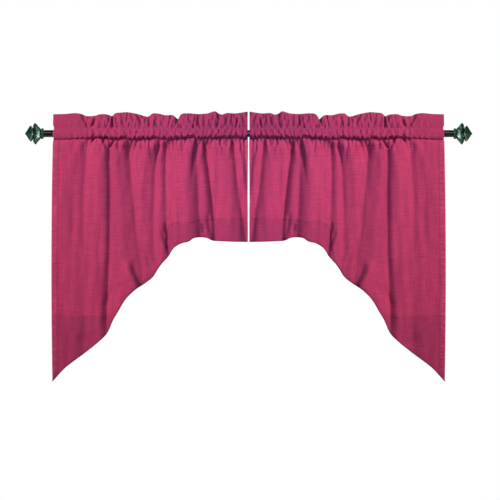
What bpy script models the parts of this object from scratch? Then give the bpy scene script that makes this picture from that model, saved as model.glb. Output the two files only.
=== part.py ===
"""A pair of mirrored swag and tail panels, gathered on a round rod with square finials.

Each panel is one sheet of cloth. From its turned-under edge behind the rod it runs up the back
of the rod pocket and the ruffle, over the top, down the front of both, and on down to the hem.
X runs to the right along the rod, the cloth's face looks to -Y, and +Z is up. The origin is on
the rod's axis, halfway along it. Sizes are in millimetres; MM turns them into metres.
"""
import math
from collections import namedtuple

import bmesh
import bpy

MM = 0.001

# Rod and the collar on each end
ROD_RADIUS = 12.0
ROD_HALF_LENGTH = 706.5
ROUND_STEPS = 32
EDGE_ANGLE = math.radians(35)                  # a round part's edges this steep stay sharp
COLLAR_START = 701.0
COLLAR_END = 710.0
COLLAR_RADIUS = 18.4
COLLAR_CHAMFER = 2.0
COLLAR_WEB = 3.0
FIT_GAP = 0.3

# Square finial: a short round shank, a deep swept plate, a small plate and a pyramid
SHANK_RADIUS = 6.0
SECTION_STEPS = 4          # points along each half side of a square section
Section = namedtuple("Section", "at_side at_corner side corner")
FINIAL_SECTIONS = [        # along the rod at mid-side and at the corner; half size at both
    Section(710.3, 710.3, 13.5, 15.0),
    Section(712.4, 712.6, 13.8, 18.8),
    Section(714.2, 714.8, 19.4, 20.8),
    Section(718.4, 720.4, 19.9, 26.0),
    Section(721.0, 725.4, 20.4, 32.2),
    Section(722.8, 729.5, 20.6, 37.5),
    Section(724.2, 736.0, 19.4, 28.0),
    Section(725.5, 736.5, 13.0, 14.0),
    Section(735.0, 736.5, 12.5, 12.5),
    Section(736.8, 743.5, 19.0, 27.5),
    Section(740.0, 747.0, 18.0, 25.5),
    Section(747.0, 751.5, 13.0, 20.0),
    Section(753.5, 755.5, 9.0, 13.5),
    Section(760.5, 761.2, 4.2, 5.2),
    Section(765.0, 765.0, 0.8, 0.8),
]

# Cloth
CLOTH = 1.2
INNER_EDGE = (3.4, 3.4, 3.4, 3.4)              # distance from the middle at the four levels:
OUTER_EDGE = (667.0, 669.0, 674.0, 670.5)      # top edge, pocket, halfway down, hem
LONGEST_GAP = 30.0         # widest space left between two columns of the sheet
SHORTEST_GAP = 1.5         # columns that come closer than this are one
CREST = 12.0               # how far the folds' crests stand in front of the lower stitching
POCKET_SWELL = 1.6         # extra swell of the pocket between its creases
FOLD_RISE = 55.0           # drop over which the folds open below the lower stitching
UPPER_DROPS = (9.0, 26.0, 60.0)                # first rows of the sheet below the stitching
LOWER_ROWS = 6             # rows from there to the hem

# The heading in section, from the cloth's back edge to the lower stitching on its face.
# Its top row is at EDGE_HEIGHT, which TOP_EDGE then raises or lowers.
EDGE_HEIGHT = 69.0
HeadingRow = namedtuple("HeadingRow", "z y ruffle pocket")
HEADING = [                # ruffle and pocket: the share of their creases that the row takes
    HeadingRow(-23.0, 3.4, 0.0, 0.0),
    HeadingRow(-19.0, 1.3, 0.0, 0.0),
    HeadingRow(-6.0, 14.5, 0.0, 1.0),
    HeadingRow(4.5, 13.6, 0.0, 0.0),
    HeadingRow(18.3, 1.2, 0.0, 0.0),
    HeadingRow(42.0, 4.6, 0.55, 0.0),
    HeadingRow(64.0, 3.2, 0.95, 0.0),
    HeadingRow(EDGE_HEIGHT, 0.0, 1.0, 0.0),
    HeadingRow(64.0, -3.2, 0.95, 0.0),
    HeadingRow(42.0, -4.6, 0.55, 0.0),
    HeadingRow(18.3, -1.2, 0.0, 0.0),
    HeadingRow(4.5, -13.6, 0.0, 0.0),
    HeadingRow(-6.0, -14.5, 0.0, 1.0),
    HeadingRow(-19.0, -1.3, 0.0, 0.0),
]

# Main creases, a row for each, from the outer edge to the middle of the pair. Places are
# distances from the middle; outer and inner are the crease's reach to each side; ruffle,
# body and hem are its depths there, and notch is how far the top edge dips in it.
Crease = namedtuple("Crease", "top pocket middle at_hem outer inner ruffle notch body hem")
CREASES = [
    Crease(564, 560, 560, 566, 30, 30, 7, 8, 7, 5),
    Crease(466, 475, 477, 488, 24, 30, 12, 11, 18, 6),
    Crease(424, 406, 394, 370, 30, 34, 2, 0, 14, 13),
    Crease(344, 306, 322, 308, 28, 19, 12, 11, 15, 12),
    Crease(292, 282, 284, 272, 14, 22, 5, 2, 11, 11),
    Crease(246, 233, 236, 236, 13, 13, 12, 17, 3, 2),
    Crease(212, 189, 183, 175, 22, 28, 0, 0, 18, 14),
    Crease(168, 143, 132, 124, 20, 24, 9, 3, 18, 17),
    Crease(100, 104, 104, 104, 12, 12, 8, 8, 3, 1),
    Crease(42, 48, 32, 15, 24, 12, 5, 3, 13, 9),
]

# Outline: heights at distances from the middle, along the ruffle's top edge between its
# notches, and along the hem's cut edge
OutlinePoint = namedtuple("OutlinePoint", "distance z")
TOP_EDGE = [
    OutlinePoint(3, 74),
    OutlinePoint(57, 67),
    OutlinePoint(80, 70),
    OutlinePoint(122, 77),
    OutlinePoint(160, 67),
    OutlinePoint(213, 71),
    OutlinePoint(269, 64),
    OutlinePoint(312, 68),
    OutlinePoint(365, 64),
    OutlinePoint(428, 74),
    OutlinePoint(490, 67),
    OutlinePoint(545, 61),
    OutlinePoint(585, 69),
    OutlinePoint(640, 67),
    OutlinePoint(667, 63),
]
HEM = [
    OutlinePoint(3, -368),
    OutlinePoint(64, -369),
    OutlinePoint(125, -367),
    OutlinePoint(170, -356),
    OutlinePoint(215, -369),
    OutlinePoint(248, -383),
    OutlinePoint(282, -431),
    OutlinePoint(324, -482),
    OutlinePoint(371, -526),
    OutlinePoint(419, -569),
    OutlinePoint(467, -644),
    OutlinePoint(492, -692),
    OutlinePoint(515, -719),
    OutlinePoint(597, -779),
    OutlinePoint(671, -848),
]

# Colours are linear, as the shader takes them
CLOTH_COLOUR = (0.47, 0.045, 0.12, 1.0)
ROD_COLOUR = (0.006, 0.012, 0.010, 1.0)
FINIAL_COLOUR = (0.012, 0.035, 0.026, 1.0)
CLOTH_ROUGHNESS = 0.9
ROD_ROUGHNESS = 0.35
FINIAL_ROUGHNESS = 0.4


def clear_scene():
    for obj in list(bpy.data.objects):
        bpy.data.objects.remove(obj, do_unlink=True)


def make_material(name, colour, roughness):
    material = bpy.data.materials.new(name)
    material.use_nodes = True
    shader = material.node_tree.nodes["Principled BSDF"]
    shader.inputs["Base Color"].default_value = colour
    shader.inputs["Roughness"].default_value = roughness
    return material


def add_object(name, mesh, material, collection):
    obj = bpy.data.objects.new(name, mesh)
    obj.data.materials.append(material)
    collection.objects.link(obj)
    return obj


def mesh_in_metres(bm, name):
    """Turn a finished bmesh, made in millimetres, into a mesh in metres."""
    bmesh.ops.scale(bm, vec=(MM, MM, MM), verts=bm.verts)
    mesh = bpy.data.meshes.new(name)
    bm.to_mesh(mesh)
    bm.free()
    return mesh


def smooth_step(share):
    share = min(max(share, 0.0), 1.0)
    return share * share * (3.0 - 2.0 * share)


def outline_height(outline, distance):
    """Height of an outline at a distance from the middle: a smooth curve through its points."""
    last = len(outline) - 1
    index = next((i for i in range(last) if distance <= outline[i + 1].distance), last - 1)
    start, end = outline[index], outline[index + 1]
    slopes = []
    for middle in (index, index + 1):
        before, after = outline[max(middle - 1, 0)], outline[min(middle + 1, last)]
        slopes.append((after.z - before.z) / (after.distance - before.distance))
    span = end.distance - start.distance
    t = (distance - start.distance) / span
    return (
        (2 * t ** 3 - 3 * t ** 2 + 1) * start.z
        + (t ** 3 - 2 * t ** 2 + t) * span * slopes[0]
        + (3 * t ** 2 - 2 * t ** 3) * end.z
        + (t ** 3 - t ** 2) * span * slopes[1]
    )


def crease_place(crease):
    return (crease.top, crease.pocket, crease.middle, crease.at_hem)


def column_lines():
    """Columns of the sheet, each with its distance from the middle at the four levels."""
    lines = [INNER_EDGE, OUTER_EDGE]
    for crease in CREASES:
        for reach in (-crease.inner, -crease.inner / 2, 0.0, crease.outer / 2, crease.outer):
            lines.append(tuple(place + reach for place in crease_place(crease)))
    lines.sort(key=lambda line: line[1])
    filled = [lines[0]]
    for line in lines[1:]:
        before = filled[-1]
        if min(b - a for a, b in zip(before, line)) < SHORTEST_GAP:
            continue
        pieces = math.ceil((line[2] - before[2]) / LONGEST_GAP)
        for piece in range(1, pieces):
            share = piece / pieces
            filled.append(tuple(a + (b - a) * share for a, b in zip(before, line)))
        filled.append(line)
    return filled


def heading_distance(line, ruffle):
    """Distance of a column from the middle, ruffle being 0 at the pocket and 1 at the top."""
    return line[1] + (line[0] - line[1]) * ruffle


def body_distance(line, down):
    """Distance of a column from the middle, down being 0 at the stitching and 1 at the hem."""
    return (
        (1 - down) * (1 - 2 * down) * line[1]
        + 4 * down * (1 - down) * line[2]
        + down * (2 * down - 1) * line[3]
    )


def trough(distance, centre, crease):
    """Share of a crease's depth at a distance, 1 in the crease and 0 past its reach."""
    offset = distance - centre
    reach = crease.outer if offset > 0 else crease.inner
    if abs(offset) >= reach:
        return 0.0
    return 0.5 + 0.5 * math.cos(math.pi * offset / reach)


def heading_point(line, row):
    distance = heading_distance(line, row.ruffle)
    troughs = [
        (crease, trough(distance, heading_distance(crease_place(crease), row.ruffle), crease))
        for crease in CREASES
    ]
    back = sum(crease.ruffle * share for crease, share in troughs) * row.ruffle
    dip = sum(crease.notch * share for crease, share in troughs) * row.ruffle ** 2
    rise = (outline_height(TOP_EDGE, distance) - EDGE_HEIGHT) * row.ruffle
    swell = POCKET_SWELL * row.pocket * (1 - min(1.0, sum(share for _, share in troughs)))
    return distance, row.y + back + math.copysign(swell, row.y), row.z + rise - dip


def body_point(line, drop, down):
    """Point on the cloth's body: drop is how far it is below the lower stitching."""
    distance = body_distance(line, down)
    depth = 0.0
    for crease in CREASES:
        share = trough(distance, body_distance(crease_place(crease), down), crease)
        depth += share * (crease.body + (crease.hem - crease.body) * smooth_step(down))
    stitching = HEADING[-1]
    y = stitching.y + (depth - CREST) * smooth_step(drop / FOLD_RISE)
    return distance, y, stitching.z - drop


def panel_points(line):
    """All points of one column, from the cloth's back edge to its hem."""
    points = [heading_point(line, row) for row in HEADING]
    length = HEADING[-1].z - outline_height(HEM, line[3])
    drops = list(UPPER_DROPS)
    for row in range(1, LOWER_ROWS + 1):
        drops.append(UPPER_DROPS[-1] + (length - UPPER_DROPS[-1]) * row / LOWER_ROWS)
    points += [body_point(line, drop, drop / length) for drop in drops]
    return points


def build_panel(name, side, material, collection):
    """One panel; side is -1 for the left one and 1 for the right one."""
    columns = [panel_points(line) for line in column_lines()]
    last_column = len(columns) - 1
    last_row = len(columns[0]) - 1
    bm = bmesh.new()
    bmesh.ops.create_grid(bm, x_segments=last_column, y_segments=last_row, size=1.0)
    for vert in bm.verts:
        column = round((vert.co.x + 1) / 2 * last_column)
        row = round((vert.co.y + 1) / 2 * last_row)
        distance, y, z = columns[column][row]
        vert.co = (side * distance, y, z)
    obj = add_object(name, mesh_in_metres(bm, name), material, collection)
    obj.data.shade_smooth()
    sheet = obj.modifiers.new("Cloth thickness", "SOLIDIFY")
    sheet.thickness = CLOTH * MM
    sheet.offset = 0.0
    return obj


def build_rod(material, collection):
    bpy.ops.mesh.primitive_cylinder_add(
        vertices=ROUND_STEPS,
        radius=ROD_RADIUS * MM,
        depth=2 * ROD_HALF_LENGTH * MM,
        rotation=(0, math.pi / 2, 0),
    )
    rod = bpy.context.object
    rod.name = "rod"
    for owner in list(rod.users_collection):
        owner.objects.unlink(rod)
    collection.objects.link(rod)
    rod.data.materials.append(material)
    rod.data.shade_smooth()
    rod.data.set_sharp_from_angle(angle=EDGE_ANGLE)
    return rod


def build_collar(name, side, material, collection):
    """A turned cup: the rod's end sits in it, and the finial's shank passes its web."""
    bore = ROD_RADIUS + FIT_GAP
    hole = SHANK_RADIUS + FIT_GAP
    web_start = COLLAR_END - COLLAR_WEB
    profile = [
        (COLLAR_START, bore),
        (COLLAR_START, COLLAR_RADIUS - COLLAR_CHAMFER),
        (COLLAR_START + COLLAR_CHAMFER, COLLAR_RADIUS),
        (COLLAR_END - COLLAR_CHAMFER, COLLAR_RADIUS),
        (COLLAR_END, COLLAR_RADIUS - COLLAR_CHAMFER),
        (COLLAR_END, hole),
        (web_start, hole),
        (web_start, bore),
    ]
    bm = bmesh.new()
    ring = [bm.verts.new((side * along, 0, radius)) for along, radius in profile]
    edges = [bm.edges.new((a, b)) for a, b in zip(ring, ring[1:] + ring[:1])]
    bmesh.ops.spin(
        bm,
        geom=ring + edges,
        axis=(1, 0, 0),
        cent=(0, 0, 0),
        angle=2 * math.pi,
        steps=ROUND_STEPS,
        use_merge=True,
    )
    bmesh.ops.recalc_face_normals(bm, faces=bm.faces)
    obj = add_object(name, mesh_in_metres(bm, name), material, collection)
    obj.data.shade_smooth()
    obj.data.set_sharp_from_angle(angle=EDGE_ANGLE)
    return obj


def square_ring(bm, section, side):
    """Ring of a finial section: its sides bow in, and its corners sweep towards the tip."""
    ring = []
    count = 8 * SECTION_STEPS
    for index in range(count):
        angle = 2 * math.pi * index / count
        step = index % (2 * SECTION_STEPS)
        share = 1 - abs(step - SECTION_STEPS) / SECTION_STEPS
        along = section.at_side + (section.at_corner - section.at_side) * share ** 2
        reach = section.side + (section.corner - section.side) * share ** 2
        stretch = reach / max(abs(math.cos(angle)), abs(math.sin(angle)))
        y, z = math.cos(angle) * stretch, math.sin(angle) * stretch
        ring.append(bm.verts.new((side * along, y, z)))
    return ring


def round_ring(bm, along, radius, side):
    count = 8 * SECTION_STEPS
    angles = [2 * math.pi * index / count for index in range(count)]
    return [
        bm.verts.new((side * along, radius * math.cos(a), radius * math.sin(a))) for a in angles
    ]


def build_finial(name, side, material, collection):
    """The head is a loft through unlike sections, from its round shank to its square tip."""
    seat = FINIAL_SECTIONS[0].at_side
    bm = bmesh.new()
    rings = [
        round_ring(bm, ROD_HALF_LENGTH + 2 * FIT_GAP, SHANK_RADIUS, side),
        round_ring(bm, seat, SHANK_RADIUS, side),
    ]
    rings += [square_ring(bm, section, side) for section in FINIAL_SECTIONS]
    for lower, upper in zip(rings, rings[1:]):
        for index in range(len(lower)):
            following = (index + 1) % len(lower)
            bm.faces.new((lower[index], lower[following], upper[following], upper[index]))
    bm.faces.new(rings[0])
    bm.faces.new(rings[-1])
    bmesh.ops.recalc_face_normals(bm, faces=bm.faces)
    return add_object(name, mesh_in_metres(bm, name), material, collection)


def main():
    clear_scene()
    collection = bpy.data.collections.new("Swag and tail drape")
    bpy.context.scene.collection.children.link(collection)
    cloth = make_material("Crimson chambray", CLOTH_COLOUR, CLOTH_ROUGHNESS)
    rod_paint = make_material("Black green painted steel", ROD_COLOUR, ROD_ROUGHNESS)
    finial_paint = make_material("Dark green painted casting", FINIAL_COLOUR, FINIAL_ROUGHNESS)
    build_rod(rod_paint, collection)
    for side, word in ((-1, "left"), (1, "right")):
        build_panel(f"panel_{word}", side, cloth, collection)
        build_collar(f"collar_{word}", side, finial_paint, collection)
        build_finial(f"finial_{word}", side, finial_paint, collection)


main()
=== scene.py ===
"""Looks of a mirrored pair of swag and tail panels, gathered on a curtain rod with square finials.

Each panel is one fine sheet of cloth: up the back of the rod pocket and the ruffle, over the
top, down the front of both, and on down to the hem. X runs to the right along the rod, the
cloth's face looks to -Y, and +Z is up, with the origin on the rod's axis. Sizes in the tables
are in millimetres, and places across a panel are distances from the middle of the pair.
"""
import math
from collections import namedtuple

import bmesh
import bpy
import numpy as np
from mathutils import Matrix, Vector

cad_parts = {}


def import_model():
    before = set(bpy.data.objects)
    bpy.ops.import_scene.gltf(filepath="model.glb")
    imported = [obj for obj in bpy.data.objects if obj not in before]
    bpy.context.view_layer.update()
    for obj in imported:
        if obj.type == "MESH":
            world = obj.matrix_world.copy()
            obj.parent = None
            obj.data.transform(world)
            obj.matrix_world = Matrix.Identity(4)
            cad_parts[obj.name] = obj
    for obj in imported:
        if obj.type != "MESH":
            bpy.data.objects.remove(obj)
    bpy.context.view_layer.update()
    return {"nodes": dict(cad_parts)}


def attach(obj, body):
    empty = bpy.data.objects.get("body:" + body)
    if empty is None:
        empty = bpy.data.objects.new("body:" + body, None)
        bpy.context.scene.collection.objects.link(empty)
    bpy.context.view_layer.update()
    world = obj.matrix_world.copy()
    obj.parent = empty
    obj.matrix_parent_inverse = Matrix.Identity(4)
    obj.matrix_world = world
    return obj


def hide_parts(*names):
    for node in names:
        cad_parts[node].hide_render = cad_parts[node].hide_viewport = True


MM = 0.001
SIDES = ((-1, "left"), (1, "right"))

# ---------------------------------------------------------------- camera, light and floor, in metres
CAMERA_PLACE = (0.0048, -20.0, -0.398)
SENSOR_WIDTH = 36.0
VIEW_WIDTH = 1.71          # across the frame at the rod
FLOOR_HEIGHT = -1.9
FLOOR_RADIUS = 2.8
FLOOR_SIDES = 96
WORLD_STRENGTH = 0.07
WORLD_TINT = (0.66, 0.64, 0.74, 1.0)

# One of each stands on either side, aimed at a point in the cloth's plane; spread is in degrees
Light = namedtuple("Light", "name across forward up aim_across aim_up size power spread colour")
LIGHTS = [
    Light("softbox", 3.40, 3.60, 2.30, 0.08, 0.26, 1.7, 50.0, 66.0, (1.0, 1.0, 1.0)),
    Light("cool_fill", 0.12, 0.72, 0.02, 0.06, -0.05, 0.5, 2.7, 180.0, (0.05, 0.50, 1.0)),
    Light("back_light", 1.50, -1.80, 0.90, 0.30, -0.30, 1.2, 42.0, 180.0, (1.0, 1.0, 1.0)),
]
STRIP_PLACE = (0.0, -2.5, 1.3)
STRIP_SIZE = (3.2, 0.3)
STRIP_POWER = 240.0

# ---------------------------------------------------------------- cloth
CLOTH = 1.0
FLAT_WIDTH = 914.0         # a panel's cloth before it was gathered
HUNG_WIDTH = 666.0
COLUMNS = 326
FINE_STEPS = 4000          # places across the cloth that the columns are picked from
CREASE_CROWDING = 1.0      # how much closer columns stand in a crease
CROWDING_REACH = 14.0
FLAT_END_SHARE = 0.5       # and how much further apart at the outer end

Line = namedtuple("Line", "top pocket middle at_hem")
INNER_EDGE = Line(3.4, 3.4, 3.4, 3.4)
OUTER_EDGE = Line(668.0, 669.0, 674.0, 670.5)
PINCH = 4.0                # how far the outer edge draws in at the two rows of stitching
PINCH_REACH = 26.0

UPPER_STITCHING = 18.3
LOWER_STITCHING = -16.6
STITCHED_FACE = 0.4        # y of the cloth's face where it is held there
PinchRow = namedtuple("PinchRow", "z reach share")
PINCH_ROWS = [PinchRow(UPPER_STITCHING, 8.0, 1.0), PinchRow(-19.0, 6.0, 0.6)]
EDGE_HEIGHT = 69.0         # the ruffle's fold before TOP_EDGE raises or lowers it
POCKET_BOTTOM = -17.0
POCKET_SWELL = 2.8
RUFFLE_GATHER = 0.4        # share of the gathers' depth that runs on up into the ruffle
RUFFLE_GATHER_START = 5.0
RUFFLE_GATHER_LENGTH = 16.0
LAYER_GAP = 0.4            # between the heading's back and the face, at least
ROD_CLEARANCE = 12.9       # from the rod's axis to the middle of the cloth, at least

# The heading in section, from the cloth's back edge to the lower stitching on its face: each
# pair is a z and a y
HEADING = [
    (-24.0, 6.0), (-17.6, 5.0), (-13.2, 7.2), (-8.0, 12.4), (0.0, 14.2), (8.2, 10.6),
    (14.2, 4.6), (UPPER_STITCHING, 1.2), (28.0, 4.6), (42.0, 5.6), (59.0, 4.4), (66.6, 2.3),
    (EDGE_HEIGHT, 0.0), (66.6, -2.3), (59.0, -6.4), (42.0, -11.0), (28.0, -11.8),
    (UPPER_STITCHING, -9.8), (14.0, -11.0), (8.2, -14.0), (1.0, -17.0), (-6.0, -18.8),
    (-10.6, -17.8), (-13.2, -13.4), (-14.4, -6.4), (LOWER_STITCHING, STITCHED_FACE),
]
HEADING_ROWS = 60
FLAT_FACE = -13.6          # the outer end's face lies nearer to this plane all the way down
FLATNESS = 0.70
BACK_SHARE = 0.28          # share of the heading's rows that its back gets

# Below the stitching
RIDGE = 13.8               # how far the cloth comes forward of the stitching
RIDGE_DROP = 12.0          # drop over which it does
CREASE_DROP = 9.0
CREASE_START = 0.42        # share of their width that creases have at the stitching
CREASE_WIDENING = 85.0
UPPER_ROWS = 24
UPPER_LENGTH = 58.0
UPPER_CROWDING = 1.4       # above 1 these rows crowd towards the stitching
MIDDLE_ROWS = 44
HEM_ROWS = 15
SMALL_ROUND = 2.5          # how rounded the bottoms of gathers and short folds are
OUTER_SHARPNESS = 2.7      # above 1 a crease's side is steepest at its bottom
INNER_SHARPNESS = 1.5

# Main creases, from the outer edge to the middle. Places are distances from the middle;
# outer and inner are the crease's reach to each side, round is how rounded its bottom is,
# opens is the drop below the stitching over which it opens, and ruffle, body and hem are its
# depths there.
Crease = namedtuple("Crease", "top pocket middle at_hem outer inner round opens ruffle body hem")
CREASES = [
    Crease(604, 600, 602, 606, 30, 30, 8, 20, 2, 3, 1),
    Crease(564, 560, 562, 566, 36, 40, 10, 30, 5, 9, 4),
    Crease(466, 476, 474, 483, 26, 250, 5, 42, 6, 16, 9),
    Crease(420, 410, 390, 358, 58, 110, 6, 30, 2, 22, 14),
    Crease(344, 304, 323, 312, 62, 120, 5, 40, 8, 21, 12),
    Crease(292, 281, 281, 271, 34, 100, 4, 24, 3, 18, 9),
    Crease(258, 259, 258, 256, 24, 24, 6, 20, 2, 3, 2),
    Crease(240, 233, 236, 236, 16, 18, 5, 20, 4, 3, 2),
    Crease(205, 175, 172, 163, 42, 100, 6, 24, 3, 17, 14),
    Crease(168, 154, 127, 114, 32, 90, 4, 20, 6, 23, 19),
    Crease(100, 104, 104, 104, 18, 18, 5, 30, 4, 3, 1),
    Crease(46, 52, 34, 7, 36, 20, 5, 20, 4, 15, 10),
]

# Small gathers fanning out of the lower stitching: lean is the drift per drop, to the outer
# edge if above 0
Gather = namedtuple("Gather", "distance reach depth length lean")
GATHERS = [
    Gather(549, 9, 6, 48, 0.10),
    Gather(530, 8, 7, 42, 0.30),
    Gather(447, 8, 9, 38, -0.10),
    Gather(409, 8, 7, 42, 0.10),
    Gather(396, 7, 7, 32, 0.15),
    Gather(380, 8, 10, 48, 0.25),
    Gather(368, 7, 7, 35, -0.10),
    Gather(353, 7, 7, 32, 0.00),
    Gather(341, 8, 9, 48, -0.15),
    Gather(304, 7, 10, 54, 0.15),
    Gather(274, 7, 9, 38, -0.15),
    Gather(259, 8, 9, 48, -0.15),
    Gather(244, 7, 7, 35, 0.00),
    Gather(228, 8, 9, 48, -0.10),
    Gather(214, 7, 7, 35, 0.10),
    Gather(178, 8, 11, 96, 0.12),
    Gather(164, 7, 7, 35, 0.10),
    Gather(137, 6, 7, 42, 0.25),
    Gather(121, 7, 9, 45, 0.35),
    Gather(108, 6, 7, 32, 0.20),
    Gather(96, 7, 9, 48, -0.15),
    Gather(83, 6, 7, 35, 0.00),
    Gather(71, 7, 9, 42, 0.10),
    Gather(42, 6, 7, 38, -0.10),
    Gather(28, 6, 9, 54, -0.10),
    Gather(14, 9, 9, 200, -0.05),
]
GATHER_DROP = 3.0
GATHER_SPREAD = 110.0      # drop over which a gather grows to twice its reach
GATHER_HOLD = 1.5          # above 1 a gather stays deep for longer before it fades
STITCHED_CREASE = 0.5      # share of a crease's width and depth that the stitching holds
STITCH_JITTER = 0.9        # how far down the stitching is pulled for each millimetre of gather
STITCH_JITTER_REACH = 9.0
MOST_GATHERED = 9.0
JAG_SEED = 5
JAG_WAVES = 5
JAG_HEIGHT = 1.5           # of each wave of the lower stitching's jagged line
JAG_ACROSS = (9.0, 20.0)
JAG_DOWN = (300.0, 900.0)

# Short crinkles of the heading, which the outer end, being almost flat, hardly has
PUCKER_SEED = 23
PUCKER_WAVES = 14
PUCKER_DEPTH = 0.7
PUCKER_ACROSS = (9.0, 28.0)
PUCKER_DOWN = (30.0, 110.0)
PUCKER_DROP = 30.0         # drop over which they fade below the stitching
HELD_PUCKER = 0.35         # share of their depth that is left at the rows of stitching
FREE_PUCKER_HEIGHT = 12.0  # and the height above the upper row where they have all of it
FLAT_END = 590.0
FULL_END = 490.0
FLAT_END_LOSS = 0.8        # share of its fullness that the outer end lacks

# Creases along a line on the face, from one end down to the other; outer and inner are the
# reach to each side
FoldLine = namedtuple("FoldLine", "distance z end_distance end_z outer inner depth")
RUFFLE_FOLDS = [
    FoldLine(570, 66, 543, 16, 10, 12, 9),
    FoldLine(522, 62, 541, 14, 9, 9, 9),
    FoldLine(466, 68, 463, 16, 7, 3, 17),
    FoldLine(420, 58, 428, 24, 16, 16, 4),
    FoldLine(372, 66, 364, 24, 12, 9, 8),
    FoldLine(340, 64, 336, 22, 10, 8, 10),
    FoldLine(312, 62, 314, 18, 11, 11, 6),
    FoldLine(286, 60, 290, 22, 12, 12, 4),
    FoldLine(244, 62, 225, 18, 12, 9, 12),
    FoldLine(214, 58, 219, 20, 10, 10, 5),
    FoldLine(172, 66, 168, 20, 10, 10, 7),
    FoldLine(146, 58, 150, 20, 10, 10, 5),
    FoldLine(133, 50, 128, 18, 9, 9, 6),
    FoldLine(106, 62, 101, 22, 10, 9, 6),
    FoldLine(72, 60, 77, 20, 11, 9, 5),
    FoldLine(40, 56, 42, 20, 10, 8, 4),
]
POCKET_FOLDS = [           # these run out of the pocket and over the lower stitching
    FoldLine(526, -1, 537, -31, 6, 6, 9),
    FoldLine(505, -12, 481, -52, 6, 8, 12),
    FoldLine(457, -20, 481, -52, 6, 8, 12),
]
BODY_FOLDS = [
    FoldLine(160, -308, 149, -340, 10, 8, 7),
    FoldLine(142, -270, 130, -352, 16, 12, 7),
    FoldLine(285, -296, 271, -418, 17, 14, 14),
    FoldLine(299, -330, 275, -402, 9, 9, 7),
    FoldLine(356, -398, 336, -455, 16, 14, 4),
    FoldLine(330, -432, 304, -443, 8, 8, 4),
    FoldLine(426, -438, 376, -542, 44, 34, -14),
    FoldLine(403, -442, 360, -536, 16, 24, 10),
    FoldLine(437, -515, 462, -562, 14, 14, 4),
    FoldLine(455, -515, 500, -598, 18, 16, 5),
    FoldLine(592, -700, 515, -722, 38, 38, 6),
    FoldLine(479, -420, 489, -680, 60, 34, 10),
]

# Outline: each pair is a distance from the middle and a height
STITCH_RISE = [            # how far the lower stitching lies above its place in HEADING
    (3, 6.0), (200, 5.5), (270, 2.5), (480, 1.0), (560, -1.0), (610, -4.0), (668, -5.5),
]
TOP_EDGE = [
    (3, 75), (46, 69), (76, 70), (89, 65), (102, 68), (115, 76), (141, 69), (175, 67),
    (200, 69), (226, 68), (235, 61), (241, 50), (250, 56), (260, 63), (286, 63), (307, 68),
    (328, 69), (337, 63), (346, 58), (380, 67), (414, 73), (436, 72), (457, 69), (467, 60),
    (482, 65), (508, 66), (525, 61), (555, 60), (572, 67), (594, 70), (628, 67), (668, 66),
]
HEM = [
    (3, -370), (59, -369), (102, -367), (119, -366), (131, -362), (141, -357), (162, -354),
    (187, -357), (204, -368), (230, -375), (254, -389), (265, -403), (275, -420), (296, -443),
    (310, -462), (327, -489), (354, -511), (384, -531), (408, -552), (425, -572), (449, -613),
    (464, -638), (481, -677), (501, -701), (550, -742), (613, -789), (633, -806), (671, -848),
]
# Where the turned hem is stitched down: deep across the middle, narrow along the slant, and
# straight across the tail
HEM_STITCHING = [
    (3, -294), (120, -295), (165, -298), (205, -306), (255, -310), (271, -325), (285, -400),
    (300, -436), (327, -477), (354, -499), (408, -540), (425, -559), (449, -600), (464, -620),
    (480, -629), (540, -632), (671, -628),
]
SEAM_STEP = 2.5            # rows stand this far above and below the hem's stitching
SEAM_PRESS = 2.2           # how far the hem is drawn back below its stitching
SEAM_REACH = 26.0          # and the drop over which it comes forward again
DEEP_HEM = 60.0            # a hem this deep is drawn back in full
SEAM_PUCKER = 0.8
SEAM_PUCKER_WAVES = 3
SEAM_PUCKER_LENGTH = 11.0
SEAM_PUCKER_REACH = 7.0
CURL_REACH = 5.0           # the bottom edge curls back this close to the fold
CURL_BACK = 2.6
CURL_ROWS = (0.5, 0.2, 0.0)    # shares of that reach at which its rows stand above the fold
OUTER_SIDE_HEM = 24.0
INNER_SIDE_HEM = 14.0
SIDE_HEM_START = 3         # rows below the lower stitching at which the side hems begin
TURN_GAP = 1.25            # from the middle of the cloth to the middle of its turned hem
HEADING_PAINTED_SHADE = 0.80        # how much painted shade, in the hem's darker colour, the double heading gets
CROWDED_PAINTED_SHADE = 0.50        # and how much more at the middle, where its gathers are most crowded
CROWDED_FROM = 330.0
# Painted shade on the turned hem, from its stitching down, and a little more along the tail
SWAG_HEM_PAINTED_SHADE = 0.85
TAIL_HEM_PAINTED_SHADE = 0.05
TURN_LIP = 2               # rows of turned hem above its stitching

# Stitching
STITCH_LENGTH = 2.8
STITCH_GAP = 0.9
THREAD_RADIUS = 0.32
STITCH_SIDES = 6
STITCH_RINGS = 4

# Soft unevenness that the creases leave in between
WRINKLE_SEED = 11
WRINKLE_WAVES = 18
WRINKLE_DEPTH = 0.32
WRINKLE_ACROSS = (28.0, 150.0)
WRINKLE_DOWN = (160.0, 700.0)
WRINKLE_DROP = 90.0        # drop below the stitching over which it starts

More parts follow.
